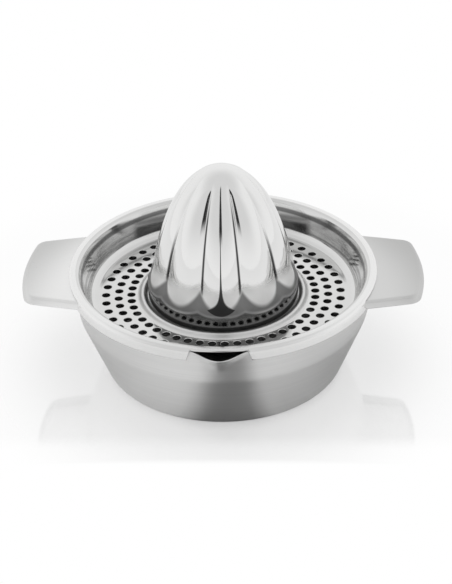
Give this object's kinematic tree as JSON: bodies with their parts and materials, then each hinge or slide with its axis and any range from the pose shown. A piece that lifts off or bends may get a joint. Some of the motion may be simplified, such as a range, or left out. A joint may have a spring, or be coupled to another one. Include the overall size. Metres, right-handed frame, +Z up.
{
  "type": "hand citrus juicer",
  "caption": "Steel hand citrus juicer: a spouted bowl with flat side handles carries a lift-off perforated strainer dish with a fluted reaming cone.",
  "frame": {"origin": "middle of the bowl's flat base, on the surface that it stands on", "axes": "+X along the handles, -Y towards the spout, +Z up along the cone's axis"},
  "size_m": [0.1944, 0.1531, 0.1056],
  "materials": {
    "satin_steel": "satin, brushed round",
    "polished_steel": "mirror polished"
  },
  "bodies": {
    "bowl": {"juice_bowl": "satin_steel", "left_handle": "satin_steel", "right_handle": "satin_steel"},
    "strainer": {"strainer_dish": "polished_steel", "reamer_cone": "polished_steel"}
  },
  "joints": [
    {"name": "strainer_lift", "type": "slide", "parent": "bowl", "child": "strainer", "axis": [0, 0, 1], "range_m": [0, 0.1]}
  ]
}
